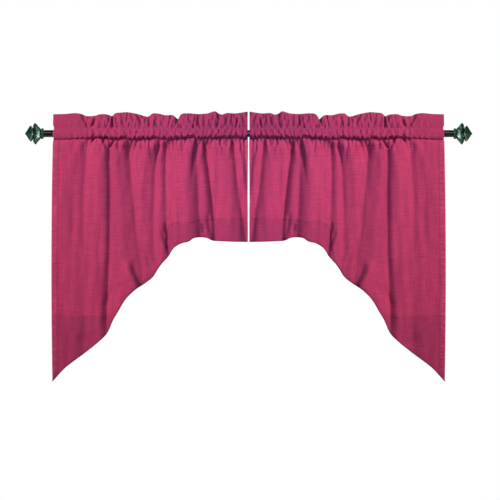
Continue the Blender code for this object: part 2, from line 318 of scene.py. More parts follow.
# ---------------------------------------------------------------- finial
FIT_GAP = 0.3
ROD_HALF_LENGTH = 706.5
SHANK_RADIUS = 6.0
SECTION_STEPS = 10         # points along each half side of a square section
RING_POINTS = 8 * SECTION_STEPS
CAST_EDGE = 0.5            # rounding of the cast edges, where faces meet at EDGE_ANGLE or more
EDGE_ANGLE = 30.0
# The last column pales a section: partly worn enamel over a paler undercoat, and partly a painted
# highlight, strongest on the plates' mid-side faces
Section = namedtuple("Section", "at_side at_corner side corner rubbed")
CORNER_ENAMEL = 0.45       # share of its enamel that a pale section keeps at its corners, so that wear and painted highlight lie most on its mid-side faces
FINIAL_SECTIONS = [
    Section(710.3, 710.3, 13.5, 15.0, 0.0),
    Section(712.4, 712.6, 13.8, 18.8, 0.1),
    Section(714.2, 714.8, 19.4, 20.8, 1.0),
    Section(718.4, 720.4, 19.9, 26.0, 1.0),
    Section(721.0, 725.4, 20.4, 32.2, 1.0),
    Section(722.8, 729.5, 20.6, 37.5, 1.0),
    Section(724.2, 736.0, 19.4, 28.0, 0.7),
    Section(725.5, 736.5, 13.0, 14.0, 0.0),
    Section(735.0, 736.5, 12.5, 12.5, 0.0),
    Section(736.8, 743.5, 19.0, 27.5, 0.8),
    Section(740.0, 747.0, 18.0, 25.5, 0.7),
    Section(747.0, 751.5, 13.0, 20.0, 0.15),
    Section(753.5, 755.5, 9.0, 13.5, 0.15),
    Section(760.5, 761.2, 4.2, 5.2, 0.3),
    Section(765.0, 765.0, 0.8, 0.8, 0.6),
]


# ---------------------------------------------------------------- small helpers
def linear(hex_colour):
    """An sRGB hex colour as the linear RGBA that a shader takes."""
    channels = [int(hex_colour[i:i + 2], 16) / 255 for i in (1, 3, 5)]
    red, green, blue = (
        channel / 12.92 if channel <= 0.04045 else ((channel + 0.055) / 1.055) ** 2.4
        for channel in channels
    )
    return red, green, blue, 1.0


def set_node(node, links=(), **settings):
    """Settings are a node's attributes or, after in_, its input values; links join another
    node's output to one of its inputs."""
    for name, value in settings.items():
        if name.startswith("in_"):
            key = name[3:]
            node.inputs[int(key) if key.isdigit() else key.replace("_", " ")].default_value = value
        else:
            setattr(node, name, value)
    for source, output, target in links:
        node.id_data.links.new(source.outputs[output], node.inputs[target])
    return node


def add_node(owner, kind, links=(), **settings):
    """Add a node to a material or the world."""
    return set_node(owner.node_tree.nodes.new(kind), links, **settings)


def new_material(name):
    material = bpy.data.materials.new(name)
    material.use_nodes = True
    return material, material.node_tree.nodes["Principled BSDF"]


def add_object(name, mesh, material):
    obj = bpy.data.objects.new(name, mesh)
    obj.data.materials.append(material)
    bpy.context.scene.collection.objects.link(obj)
    return obj


def smooth_step(share):
    share = np.clip(share, 0.0, 1.0)
    return share * share * (3.0 - 2.0 * share)


def smooth_curve(places, values, at):
    """Values of a smooth curve through points, read at other places."""
    places, values = np.asarray(places, float), np.asarray(values, float)
    last = len(places) - 1
    before = np.maximum(np.arange(last + 1) - 1, 0)
    after = np.minimum(np.arange(last + 1) + 1, last)
    slopes = (values[after] - values[before]) / (places[after] - places[before])
    start = np.clip(np.searchsorted(places, at, side="right") - 1, 0, last - 1)
    span = places[start + 1] - places[start]
    t = (at - places[start]) / span
    return (
        (2 * t ** 3 - 3 * t ** 2 + 1) * values[start]
        + (t ** 3 - 2 * t ** 2 + t) * span * slopes[start]
        + (3 * t ** 2 - 2 * t ** 3) * values[start + 1]
        + (t ** 3 - t ** 2) * span * slopes[start + 1]
    )


def outline_height(outline, distance):
    return smooth_curve(*zip(*outline), distance)


# ---------------------------------------------------------------- materials
def chambray():
    """Cotton chambray: a matt plain weave, crimson one way and a greyer pink the other, whose
    uneven slub yarns show as short faint streaks along both threads. It also carries painted
    shade on the double heading and hems, and a painted highlight on the side hems' puckers."""
    material, shader = new_material("Crimson slub chambray")
    coordinates = add_node(material, "ShaderNodeTexCoord")
    # yarns are 0.5 mm apart in the real cloth; the slubs are drawn 3 mm wide so that they show
    yarns = []
    for scale in ((330.0, 16.0, 1.0), (14.0, 300.0, 1.0)):
        stretched = add_node(
            material, "ShaderNodeMapping", [(coordinates, "UV", "Vector")], in_Scale=scale
        )
        yarns.append(add_node(
            material, "ShaderNodeTexNoise", [(stretched, "Vector", "Vector")],
            in_Scale=1.0, in_Detail=2.0, in_Roughness=0.6,
        ))
    warp, weft = yarns
    slubs = add_node(
        material, "ShaderNodeMath", [(warp, "Fac", 0), (weft, "Fac", 1)], operation="ADD"
    )
    streaks = add_node(
        material, "ShaderNodeMapRange", [(slubs, "Value", "Value")],
        in_From_Min=0.60, in_From_Max=1.40,
    )
    tone = add_node(material, "ShaderNodeValToRGB", [(streaks, "Result", "Fac")])
    tone.color_ramp.elements[0].color = linear("#a32a4d")
    tone.color_ramp.elements[1].color = linear("#cf4065")
    mottle = add_node(
        material, "ShaderNodeTexNoise", [(coordinates, "UV", "Vector")],
        in_Scale=9.0, in_Detail=3.0, in_Roughness=0.5,
    )
    fade = add_node(
        material, "ShaderNodeMapRange", [(mottle, "Fac", "Value")],
        in_From_Min=0.3, in_From_Max=0.7, in_To_Min=0.0, in_To_Max=0.22,
    )
    colour = add_node(
        material, "ShaderNodeMix", [(fade, "Result", 0), (tone, "Color", 6)],
        data_type="RGBA", in_7=linear("#a8305b"),
    )
    # painted shade: the turned attribute draws the double heading and the turned hems darker
    turned = add_node(material, "ShaderNodeAttribute", attribute_name="turned")
    painted_shade_share = add_node(
        material, "ShaderNodeMath", [(turned, "Fac", 0)], operation="MULTIPLY", in_1=0.42
    )
    shaded_colour = add_node(
        material, "ShaderNodeMix", [(painted_shade_share, "Value", 0), (colour, 2, 6)],
        data_type="RGBA", in_7=linear("#84254c"),
    )
    # side hems are drawn up by their thread into small crosswise puckers, about 9 mm apart,
    # which get a bump, and a painted highlight: a paler colour on their tops
    side_hem = add_node(material, "ShaderNodeAttribute", attribute_name="side_hem")
    pucker_scale = add_node(
        material, "ShaderNodeMapping", [(coordinates, "UV", "Vector")], in_Scale=(30.0, 110.0, 1.0)
    )
    pucker = add_node(
        material, "ShaderNodeTexNoise", [(pucker_scale, "Vector", "Vector")], in_Scale=1.0,
        in_Detail=1.0,
    )
    drawn = add_node(
        material, "ShaderNodeMath", [(pucker, "Fac", 0), (side_hem, "Fac", 1)], operation="MULTIPLY"
    )
    pucker_painted_highlight = add_node(
        material, "ShaderNodeMapRange", [(drawn, "Value", "Value")],
        in_From_Min=0.42, in_From_Max=0.66, in_To_Max=0.25,
    )
    colour_with_painted_highlight = add_node(
        material, "ShaderNodeMix", [(pucker_painted_highlight, "Result", 0), (shaded_colour, 2, 6)],
        data_type="RGBA", in_7=linear("#d9607f"),
    )
    drawn_bump = add_node(
        material, "ShaderNodeBump", [(drawn, "Value", "Height")], in_Strength=0.6,
        in_Distance=0.004,
    )
    # the weave's own cells, 1.4 mm instead of 0.5 mm so that they show close to
    weave_scale = add_node(
        material, "ShaderNodeMapping", [(coordinates, "UV", "Vector")], in_Scale=(714.0, 714.0, 1.0)
    )
    weave = add_node(
        material, "ShaderNodeTexChecker", [(weave_scale, "Vector", "Vector")], in_Scale=1.0
    )
    relief = add_node(
        material, "ShaderNodeMath", [(weave, "Fac", 0), (slubs, "Value", 2)],
        operation="MULTIPLY_ADD", in_1=0.35,
    )
    bump = add_node(
        material, "ShaderNodeBump", [(relief, "Value", "Height"), (drawn_bump, "Normal", "Normal")],
        in_Strength=0.35, in_Distance=0.0006,
    )
    set_node(
        shader, [(colour_with_painted_highlight, 2, "Base Color"), (bump, "Normal", "Normal")],
        in_Roughness=0.92, in_IOR=1.45, in_Specular_IOR_Level=0.25,
        in_Sheen_Weight=0.12, in_Sheen_Roughness=0.4, in_Sheen_Tint=linear("#e88aa8"),
    )
    return material


def sewing_thread():
    """Spun polyester thread: a little darker and glossier than the cloth, with its twist showing
    as fine bands."""
    material, shader = new_material("Crimson sewing thread")
    coordinates = add_node(material, "ShaderNodeTexCoord")
    twist = add_node(
        material, "ShaderNodeTexNoise", [(coordinates, "Object", "Vector")],
        in_Scale=2500.0, in_Detail=1.0,
    )
    tone = add_node(material, "ShaderNodeValToRGB", [(twist, "Fac", "Fac")])
    tone.color_ramp.elements[0].color = linear("#8c2448")
    tone.color_ramp.elements[1].color = linear("#b83a63")
    set_node(shader, [(tone, "Color", "Base Color")], in_Roughness=0.6)
    return material


def rod_enamel():
    """Stoved enamel on steel tube: black with a green cast, satin, with a faint orange peel."""
    material, shader = new_material("Black green rod enamel")
    coordinates = add_node(material, "ShaderNodeTexCoord")
    peel = add_node(
        material, "ShaderNodeTexNoise", [(coordinates, "Object", "Vector")],
        in_Scale=600.0, in_Detail=2.0,
    )
    bump = add_node(
        material, "ShaderNodeBump", [(peel, "Fac", "Height")], in_Strength=0.1, in_Distance=0.0004
    )
    handled = add_node(
        material, "ShaderNodeTexNoise", [(coordinates, "Object", "Vector")],
        in_Scale=35.0, in_Detail=3.0,
    )
    gloss = add_node(
        material, "ShaderNodeMapRange", [(handled, "Fac", "Value")],
        in_To_Min=0.13, in_To_Max=0.19,
    )
    tone = add_node(material, "ShaderNodeValToRGB", [(handled, "Fac", "Fac")])
    tone.color_ramp.elements[0].color = linear("#010302")
    tone.color_ramp.elements[1].color = linear("#07100c")
    set_node(
        shader,
        [(tone, "Color", "Base Color"), (gloss, "Result", "Roughness"), (bump, "Normal", "Normal")],
        in_Specular_IOR_Level=0.25,
    )
    return material


def finial_enamel(name, evenly=None):
    """Dark green enamel over a cast head: glossy, thin on the edges, where a paler green
    undercoat shows, and with a painted highlight in the same paler green on the plates' mid-side
    faces; evenly is how worn a piece is, in random patches, that has no such marks of its own."""
    material, shader = new_material(name)
    coordinates = add_node(material, "ShaderNodeTexCoord")
    patches = add_node(
        material, "ShaderNodeTexNoise", [(coordinates, "Object", "Vector")],
        in_Scale=160.0, in_Detail=4.0,
    )
    wear_and_highlight = add_node(
        material, "ShaderNodeMath", [(patches, "Fac", 1)], operation="MULTIPLY", in_0=evenly or 0.0
    )
    # on the finial an attribute sets where it is paler: wear, and a painted highlight
    if evenly is None:
        rubbed = add_node(material, "ShaderNodeAttribute", attribute_name="rubbed")
        set_node(wear_and_highlight, [(rubbed, "Fac", 0)])
    wear_and_highlight_share = add_node(
        material, "ShaderNodeMapRange", [(wear_and_highlight, "Value", "Value")],
        in_From_Min=0.28, in_From_Max=0.64,
    )
    tone = add_node(material, "ShaderNodeValToRGB", [(patches, "Fac", "Fac")])
    tone.color_ramp.elements[0].color = linear("#04140b")
    tone.color_ramp.elements[1].color = linear("#174029")
    colour = add_node(
        material, "ShaderNodeMix", [(wear_and_highlight_share, "Result", 0), (tone, "Color", 6)],
        data_type="RGBA", in_7=linear("#869c88"),
    )
    bump = add_node(
        material, "ShaderNodeBump", [(patches, "Fac", "Height")], in_Strength=0.2,
        in_Distance=0.0005,
    )
    set_node(
        shader, [(colour, 2, "Base Color"), (bump, "Normal", "Normal")], in_Roughness=0.32
    )
    return material


# ---------------------------------------------------------------- cloth panels
def crease_line(crease):
    return Line(crease.top, crease.pocket, crease.middle, crease.at_hem)


def flat_share(distance):
    """0 where the cloth is fully gathered, and 1 at the outer end, which hardly is."""
    return smooth_step((distance - FULL_END) / (FLAT_END - FULL_END))


def fullness(distance):
    """How drawn up the cloth is, from little at the outer end to 1."""
    return 1.0 - FLAT_END_LOSS * flat_share(distance)


def flatten_end(y, distance):
    """y of the face brought nearer to one plane at the outer end."""
    return y + FLATNESS * flat_share(distance) * (FLAT_FACE - y)


def column_places():
    """Distances of the sheet's columns at the pocket, closest together in the creases."""
    fine = np.linspace(INNER_EDGE.pocket, OUTER_EDGE.pocket, FINE_STEPS)
    crowd = 1.0 - FLAT_END_SHARE * flat_share(fine)
    for crease in CREASES:
        crowd += CREASE_CROWDING * np.exp(-(((fine - crease.pocket) / CROWDING_REACH) ** 2))
    total = np.cumsum(crowd)
    total = (total - total[0]) / (total[-1] - total[0])
    return np.interp(np.linspace(0, 1, COLUMNS + 1), total, fine)


def column_levels(places):
    """Distances of the columns at the top, the pocket, halfway down and the hem."""
    lines = [INNER_EDGE, OUTER_EDGE] + [crease_line(crease) for crease in CREASES]
    lines.sort(key=lambda line: line.pocket)
    at = [line.pocket for line in lines]
    return Line(*(np.interp(places, at, [line[level] for line in lines]) for level in range(4)))


def body_distance(line, down):
    """Distance from the middle, down being 0 at the stitching and 1 at the hem."""
    return (
        (1 - down) * (1 - 2 * down) * line.pocket
        + 4 * down * (1 - down) * line.middle
        + down * (2 * down - 1) * line.at_hem
    )


def heading_distance(line, ruffle):
    return line.pocket + (line.top - line.pocket) * ruffle


def trough(offset, outer, inner, bottom=SMALL_ROUND):
    """Share of a crease's depth, 1 in the crease and 0 past its reach to either side."""
    away = np.hypot(offset, bottom) - bottom
    left = 1.0 - np.clip(away / np.where(offset > 0, outer, inner), 0.0, 1.0)
    return left ** np.where(offset > 0, OUTER_SHARPNESS, INNER_SHARPNESS)


def fold_line_depth(fold, distance, z):
    """Depth that a crease along a line gives, fading out at both of its ends."""
    along = np.array([fold.end_distance - fold.distance, fold.end_z - fold.z], float)
    length = np.hypot(*along)
    along /= length
    share = ((distance - fold.distance) * along[0] + (z - fold.z) * along[1]) / length
    beyond = np.clip(share, 0.0, 1.0) - share
    across = (z - fold.z) * along[0] - (distance - fold.distance) * along[1]
    offset = np.copysign(np.hypot(across, beyond * length), across)
    fade = 1.0 - np.abs(2 * np.clip(share, 0.0, 1.0) - 1) ** 3
    return fold.depth * fade * trough(offset, fold.outer, fold.inner)


def gather_depth(distance, drop):
    """Depth of the small gathers at a drop below the stitching, and 0 where there is none."""
    depth = np.zeros_like(distance)
    for gather in GATHERS:
        centre = gather.distance + gather.lean * drop
        reach = gather.reach * (1 + drop / GATHER_SPREAD)
        fade = np.exp(-((drop / gather.length) ** GATHER_HOLD))
        depth += gather.depth * fade * trough(distance - centre, reach, reach)
    return depth


def drawn_in(distance):
    """How deep the cloth is gathered at the lower stitching, creases and small gathers alike."""
    depth = gather_depth(distance, 0.0)
    reach = STITCHED_CREASE * CREASE_START
    for crease in CREASES:
        share = trough(distance - crease.pocket, crease.outer * reach, crease.inner * reach)
        depth += STITCHED_CREASE * crease.body * share
    return np.minimum(depth, MOST_GATHERED)


def waves(distance, z, seed, count, across, down):
    """Sum of waves of random length, lean and start; across and down give their lengths."""
    random = np.random.RandomState(seed)
    depth = np.zeros_like(distance)
    for _ in range(count):
        turn_across = 2 * math.pi / random.uniform(*across)
        turn_down = 2 * math.pi / random.uniform(*down) * random.choice((-1, 1))
        depth += np.sin(turn_across * distance + turn_down * z + random.uniform(0, 2 * math.pi))
    return depth


def wrinkles(distance, z):
    """Soft unevenness of a few millimetres, long down the cloth and short across it."""
    return WRINKLE_DEPTH * waves(
        distance, z, WRINKLE_SEED, WRINKLE_WAVES, WRINKLE_ACROSS, WRINKLE_DOWN
    )


def puckers(distance, z):
    """Short crinkles of the drawn-up heading."""
    depth = waves(distance, z, PUCKER_SEED, PUCKER_WAVES, PUCKER_ACROSS, PUCKER_DOWN)
    return PUCKER_DEPTH * fullness(distance) * depth


def tug(distance, z):
    """How far the lower stitching's jagged line moves the cloth at a height up or down."""
    pull = (0.5 * MOST_GATHERED - drawn_in(distance)) * STITCH_JITTER * fullness(distance)
    jag = JAG_HEIGHT * waves(distance, z, JAG_SEED, JAG_WAVES, JAG_ACROSS, JAG_DOWN)
    pull += jag * np.sqrt(fullness(distance))
    away = (z - LOWER_STITCHING) / STITCH_JITTER_REACH
    rise = outline_height(STITCH_RISE, distance)
    return (pull + rise) * np.exp(-(away ** 2))


def drawn_edge(distance, z):
    """Distances with the outer edge drawn in at the two rows of stitching."""
    near = smooth_step((distance - OUTER_EDGE.pocket + PINCH_REACH) / PINCH_REACH)
    pull = sum(row.share * np.exp(-(((z - row.z) / row.reach) ** 2)) for row in PINCH_ROWS)
    return distance - PINCH * near * pull


def clear_of_rod(y, z):
    """y and z moved straight out of the rod wherever they come too close to it."""
    push = np.maximum(ROD_CLEARANCE / np.maximum(np.hypot(y, z), 1.0), 1.0)
    return y * push, z * push


def heading_rows():
    """Heights and depths of the heading's rows, from the back edge to the lower stitching."""
    z, y = np.array(HEADING).T
    along = np.concatenate([[0.0], np.cumsum(np.hypot(np.diff(z), np.diff(y)))])
    top = along[int(np.argmax(z))]
    back_rows = round(HEADING_ROWS * BACK_SHARE)
    at = np.concatenate([
        np.linspace(0.0, top, back_rows, endpoint=False),
        np.linspace(top, along[-1], HEADING_ROWS - back_rows + 1),
    ])
    return smooth_curve(along, z, at), smooth_curve(along, y, at)


def heading_row(levels, row_z, row_y):
    """One row of the heading: distance, y and z of each column."""
    ruffle = np.clip((row_z - UPPER_STITCHING) / (EDGE_HEIGHT - UPPER_STITCHING), 0.0, 1.0)
    distance = heading_distance(levels, ruffle)
    height = np.full_like(distance, row_z)
    back = np.zeros_like(distance)
    for crease in CREASES:
        offset = distance - heading_distance(crease_line(crease), ruffle)
        back += crease.ruffle * trough(offset, crease.outer, crease.inner, crease.round) * ruffle
    for fold in RUFFLE_FOLDS + POCKET_FOLDS:
        back += fold_line_depth(fold, distance, height)
    gathers = drawn_in(distance)
    side = 1.0 if row_y > 0 else -1.0
    if row_z > UPPER_STITCHING:
        above = row_z - UPPER_STITCHING
        fade = math.exp(-above / RUFFLE_GATHER_LENGTH) * min(1.0, above / RUFFLE_GATHER_START)
        back += RUFFLE_GATHER * gathers * fade
        free = min(1.0, above / FREE_PUCKER_HEIGHT)
        back += puckers(distance, height) * (HELD_PUCKER + (1.0 - HELD_PUCKER) * free)
    else:
        share = (row_z - POCKET_BOTTOM) / (UPPER_STITCHING - POCKET_BOTTOM)
        within = math.sqrt(math.sin(math.pi * min(max(share, 0.0), 1.0)))
        swell = POCKET_SWELL * (1.0 - gathers / MOST_GATHERED)
        pucker = puckers(distance, height)
        back += side * within * np.maximum(swell + pucker, 0.0)
        back += HELD_PUCKER * (1.0 - within) * pucker
        if row_y > 0 and row_z < LOWER_STITCHING:
            front = body_surface(distance, LOWER_STITCHING - row_z, 0.0)
            back = np.maximum(back, front + CLOTH + LAYER_GAP - row_y)
    rise = (outline_height(TOP_EDGE, distance) - EDGE_HEIGHT) * ruffle
    if row_y < 0:
        held = math.exp(-max(row_z - UPPER_STITCHING, 0.0) / UPPER_STITCHING)
        row_y = row_y + (flatten_end(row_y, distance) - row_y) * held
    y, z = clear_of_rod(row_y + back, row_z + rise + tug(distance, height))
    return drawn_edge(distance, z), y, z


def body_surface(distance, drop, down):
    """y of the face at a drop below the stitching, with its creases and gathers."""
    z = LOWER_STITCHING - drop
    depth = np.zeros_like(distance)
    width = CREASE_START + (1 - CREASE_START) * smooth_step(drop / CREASE_WIDENING)
    opened = 1.0 - np.exp(-drop / CREASE_DROP)
    for crease in CREASES:
        offset = distance - body_distance(crease_line(crease), down)
        share = trough(offset, crease.outer * width, crease.inner * width, crease.round * width)
        deep = crease.body + (crease.hem - crease.body) * smooth_step(down)
        depth += share * deep * smooth_step(drop / crease.opens)
    depth += gather_depth(distance, drop) * (1.0 - np.exp(-drop / GATHER_DROP))
    depth += puckers(distance, z) * np.exp(-drop / PUCKER_DROP) * opened
    for fold in POCKET_FOLDS + BODY_FOLDS:
        depth += fold_line_depth(fold, distance, z)
    depth += wrinkles(distance, z) * smooth_step(drop / WRINKLE_DROP)
    face = STITCHED_FACE - RIDGE * (1.0 - np.exp(-drop / RIDGE_DROP))
    return flatten_end(face, distance) + depth


def body_row(levels, drop, seam_drop, hem_drop):
    """One row below the stitching, drop being how far below it each column is."""
    down = drop / hem_drop
    distance = body_distance(levels, down)
    y = body_surface(distance, drop, down)
    below_seam = drop - seam_drop
    pressed = smooth_step(below_seam / SEAM_STEP + 1.0)
    pressed *= smooth_step((hem_drop - seam_drop) / DEEP_HEM)
    y += SEAM_PRESS * pressed * np.exp(-np.maximum(below_seam, 0.0) / SEAM_REACH)
    shift = waves(distance, drop, PUCKER_SEED, SEAM_PUCKER_WAVES, PUCKER_ACROSS, PUCKER_DOWN)
    ripple = np.sin(2 * math.pi * distance / SEAM_PUCKER_LENGTH + shift)
    y += SEAM_PUCKER * ripple * np.exp(-np.abs(below_seam) / SEAM_PUCKER_REACH)
    y += CURL_BACK * np.clip(1.0 - (hem_drop - drop) / CURL_REACH, 0.0, 1.0) ** 2
    z = LOWER_STITCHING - drop
    y, z = clear_of_rod(y, z + tug(distance, z))
    return drawn_edge(distance, z), y, z


def panel_grid():
    """Points of a whole panel, for the right hand side, rows from the back edge to the hem."""
    levels = column_levels(column_places())
    rows = [heading_row(levels, z, y) for z, y in zip(*heading_rows())]
    seam = LOWER_STITCHING - outline_height(HEM_STITCHING, levels.at_hem)
    hem = LOWER_STITCHING - outline_height(HEM, levels.at_hem)
    upper = np.linspace(0.0, 1.0, UPPER_ROWS + 1)[1:] ** UPPER_CROWDING * UPPER_LENGTH
    drops = [np.full_like(hem, drop) for drop in upper]
    for share in np.linspace(0.0, 1.0, MIDDLE_ROWS + 1)[1:]:
        drops.append(UPPER_LENGTH + (seam - SEAM_STEP - UPPER_LENGTH) * share)
    drops.append(seam)
    for share in np.linspace(0.0, 1.0, HEM_ROWS):
        drops.append(seam + SEAM_STEP + (hem - CURL_REACH - seam - SEAM_STEP) * share)
    for above in CURL_ROWS:
        drops.append(hem - CURL_REACH * above)
    rows += [body_row(levels, drop, seam, hem) for drop in drops]
    return np.array([np.stack(row, axis=-1) for row in rows])


def reverse_side(grid):
    """Unit normals of the sheet's points, on its wrong side."""
    normals = np.cross(np.gradient(grid, axis=1), np.gradient(grid, axis=0))
    return normals / np.linalg.norm(normals, axis=2, keepdims=True)


def cloth_lengths(grid):
    """How far down the flat cloth the points lie: by their row in the heading, and by their
    height below it, so that the weft runs level."""
    steps = np.linalg.norm(np.diff(grid[:HEADING_ROWS + 1], axis=0), axis=2).mean(axis=1)
    heading = np.concatenate([[0.0], np.cumsum(steps)])
    lengths = heading[-1] + LOWER_STITCHING - grid[:, :, 2]
    lengths[:HEADING_ROWS + 1] = heading[:, None]
    return lengths


def flat_places(points, lengths):
    """Where the points lie on the cloth laid flat: across, and down from the back edge."""
    across = np.broadcast_to(points[-1, :, 0] * FLAT_WIDTH / HUNG_WIDTH, points.shape[:2])
    return np.stack([across, -lengths], axis=-1)


def build_sheet(name, side, grid, flat, material, turned, side_hem):
    """A sheet of cloth through a grid's points; side is -1 for the left one. Its UV map is the
    cloth laid flat, in metres; turned weighs the painted shade of the double heading and hems,
    and side_hem is 1 where the cloth is double at the side hems, whose puckers get a painted
    highlight."""
    rows, columns = grid.shape[:2]
    bm = bmesh.new()
    bmesh.ops.create_grid(bm, x_segments=columns - 1, y_segments=rows - 1, size=1.0)
    mesh = bpy.data.meshes.new(name)
    bm.to_mesh(mesh)
    bm.free()
    place = np.empty(3 * len(mesh.vertices))
    mesh.vertices.foreach_get("co", place)
    column, row = np.rint(
        (place.reshape(-1, 3)[:, :2] + 1) / 2 * (columns - 1, rows - 1)
    ).astype(int).T
    mesh.vertices.foreach_set("co", (grid[row, column] * (side, 1, 1) * MM).ravel())
    corner = np.empty(len(mesh.loops), int)
    mesh.loops.foreach_get("vertex_index", corner)
    layer = mesh.uv_layers.new(name="cloth_laid_flat")
    layer.data.foreach_set("uv", (flat[row, column] * (side, 1) * MM)[corner].ravel())
    for word, values in (("turned", turned), ("side_hem", side_hem)):
        mesh.attributes.new(word, "FLOAT", "POINT").data.foreach_set("value", values[row, column])
    if side > 0:
        mesh.flip_normals()
    mesh.update()
    obj = add_object(name, mesh, material)
    obj.data.shade_smooth()
    sheet = obj.modifiers.new("Cloth thickness", "SOLIDIFY")
    sheet.thickness = CLOTH * MM
    sheet.offset = 0.0
    return obj


def side_hem_columns(grid):
    """The columns that the inner and the outer side hems are stitched along."""
    distance = grid[HEADING_ROWS, :, 0]
    inner = int(np.argmin(np.abs(distance - INNER_EDGE.pocket - INNER_SIDE_HEM)))
    outer = int(np.argmin(np.abs(distance - OUTER_EDGE.pocket + OUTER_SIDE_HEM)))
    return inner, outer


def seam_row():
    return HEADING_ROWS + UPPER_ROWS + MIDDLE_ROWS + 1


def build_panel(word, side, grid, material):
    flat = flat_places(grid, cloth_lengths(grid))
    inner, outer = side_hem_columns(grid)
    turned, side_hem = np.zeros(grid.shape[:2]), np.zeros(grid.shape[:2])
    # painted shade on the hem below its stitching and on the heading, most at its crowded middle
    tail = smooth_step((grid[-1, :, 0] - CROWDED_FROM) / CROWDED_FROM)
    turned[seam_row() + 1:] = SWAG_HEM_PAINTED_SHADE + TAIL_HEM_PAINTED_SHADE * tail
    crowded_shade = smooth_step(1.0 - grid[0, :, 0] / CROWDED_FROM)
    turned[:HEADING_ROWS] = HEADING_PAINTED_SHADE + CROWDED_PAINTED_SHADE * crowded_shade
    side_hem[HEADING_ROWS:, outer + 1:] = 1.0
    side_hem[HEADING_ROWS:, :inner] = 1.0
    return build_sheet(f"swag_cloth_{word}", side, grid, flat, material, turned, side_hem)


def build_turned_hem(word, side, grid, material):
    """The cloth turned up behind the hem: round the bottom edge and up past its stitching."""
    behind = reverse_side(grid)
    edge = grid[-1]
    fold = edge + 0.5 * TURN_GAP * behind[-1]
    fold[:, 2] -= 0.5 * TURN_GAP
    turn = grid[:seam_row() - TURN_LIP - 1:-1] + TURN_GAP * behind[:seam_row() - TURN_LIP - 1:-1]
    points = np.concatenate([[edge, fold], turn])
    beyond_edge = points[:, :, 2] - edge[:, 2]
    flat = flat_places(points, cloth_lengths(grid)[-1] + beyond_edge)
    # the full painted shade of the turned hems, all over this piece
    double = np.ones(points.shape[:2])
    return build_sheet(f"turned_hem_{word}", side, points, flat, material, double, 0 * double)


def build_side_hem(name, side, grid, columns, material):
    """The cloth turned in behind a side edge, from the heading to the bottom hem."""
    rows = slice(HEADING_ROWS + SIDE_HEM_START, seam_row() + 1)
    points = (grid + TURN_GAP * reverse_side(grid))[rows, columns]
    flat = flat_places(points, cloth_lengths(grid)[rows, columns])
    double = np.ones(points.shape[:2])
    return build_sheet(name, side, points, flat, material, 0 * double, double)


def sew(side, line, facing):
    """Places of stitches along a line of points, half sunk in the cloth on the side that is
    faced: the matrix that puts a stitch of unit size there, one each."""
    gaps = np.linalg.norm(np.diff(line, axis=0), axis=1)
    along = np.concatenate([[0.0], np.cumsum(gaps)])
    raised = (line + facing * CLOTH / 2) * (side, 1, 1) * MM
    size = Matrix.Diagonal((THREAD_RADIUS * MM, THREAD_RADIUS * MM, STITCH_LENGTH / 2 * MM, 1))
    places = []
    for start in np.arange(STITCH_GAP, along[-1] - STITCH_LENGTH, STITCH_LENGTH + STITCH_GAP):
        begin, end = (
            Vector([np.interp(at, along, raised[:, axis]) for axis in range(3)])
            for at in (start, start + STITCH_LENGTH)
        )
        turn = (end - begin).to_track_quat("Z", "Y").to_matrix().to_4x4()
        places.append(np.array(Matrix.Translation((begin + end) / 2) @ turn @ size))
    return places


def build_stitches(word, side, grid, material):
    """Every row of stitching of a panel, as one mesh."""
    behind = reverse_side(grid)
    turned = grid + TURN_GAP * behind
    inner, outer = side_hem_columns(grid)
    front = int(np.argmax(grid[:, 0, 2]))
    upper = front + int(np.argmin(np.abs(grid[front:HEADING_ROWS, 0, 2] - UPPER_STITCHING)))
    down = slice(HEADING_ROWS + SIDE_HEM_START + 1, seam_row())
    places = sew(side, turned[seam_row()], behind[seam_row()])
    for row in (upper, HEADING_ROWS, seam_row()):
        places += sew(side, grid[row], -behind[row])
    for column in (inner, outer):
        places += sew(side, grid[down, column], -behind[down, column])
        places += sew(side, turned[down, column], behind[down, column])
    bm = bmesh.new()
    bmesh.ops.create_uvsphere(bm, u_segments=STITCH_SIDES, v_segments=STITCH_RINGS, radius=1.0)
    bm.verts.index_update()
    stitch = np.array([(*vert.co, 1.0) for vert in bm.verts])
    faces = [[vert.index for vert in face.verts] for face in bm.faces]
    bm.free()
    points = np.einsum("nij,vj->nvi", np.array(places), stitch)[:, :, :3].reshape(-1, 3)
    mesh = bpy.data.meshes.new(f"stitching_{word}")
    starts = range(0, len(points), len(stitch))
    mesh.from_pydata(points.tolist(), [], [
        [start + index for index in face] for start in starts for face in faces
    ])
    obj = add_object(f"stitching_{word}", mesh, material)
    obj.data.shade_smooth()
    return obj


# ---------------------------------------------------------------- finials
def ring_step(vert):
    """Which of its ring's even steps round X a vertex is on."""
    turn = math.atan2(vert.co.z, vert.co.y) / (2 * math.pi)
    return round(turn * RING_POINTS) % RING_POINTS


def shape_round(ring, along, radius):
    for vert in ring:
        angle = 2 * math.pi * ring_step(vert) / RING_POINTS
        vert.co = (along, radius * math.cos(angle), radius * math.sin(angle))


def shape_square(ring, section, side, rubbed):
    """Shape a ring as a finial section: its sides bow in, and its corners sweep to the tip."""
    for vert in ring:
        step = ring_step(vert)
        angle = 2 * math.pi * step / RING_POINTS
        share = 1 - abs(step % (2 * SECTION_STEPS) - SECTION_STEPS) / SECTION_STEPS
        along = section.at_side + (section.at_corner - section.at_side) * share ** 2
        reach = section.side + (section.corner - section.side) * share ** 2
        stretch = reach / max(abs(math.cos(angle)), abs(math.sin(angle)))
        vert.co = (side * along, math.cos(angle) * stretch, math.sin(angle) * stretch)
        # paler green of wear and a painted highlight, less at the corners than mid-side
        vert[rubbed] = section.rubbed * (1 - CORNER_ENAMEL * share)


def ring_edges(bm, ring):
    return [edge for edge in bm.edges if edge.verts[0] in ring and edge.verts[1] in ring]


def extrude_ring(bm, ring):
    """Draw a new ring out of the last one."""
    drawn = bmesh.ops.extrude_edge_only(bm, edges=ring_edges(bm, ring))
    return {item for item in drawn["geom"] if isinstance(item, bmesh.types.BMVert)}


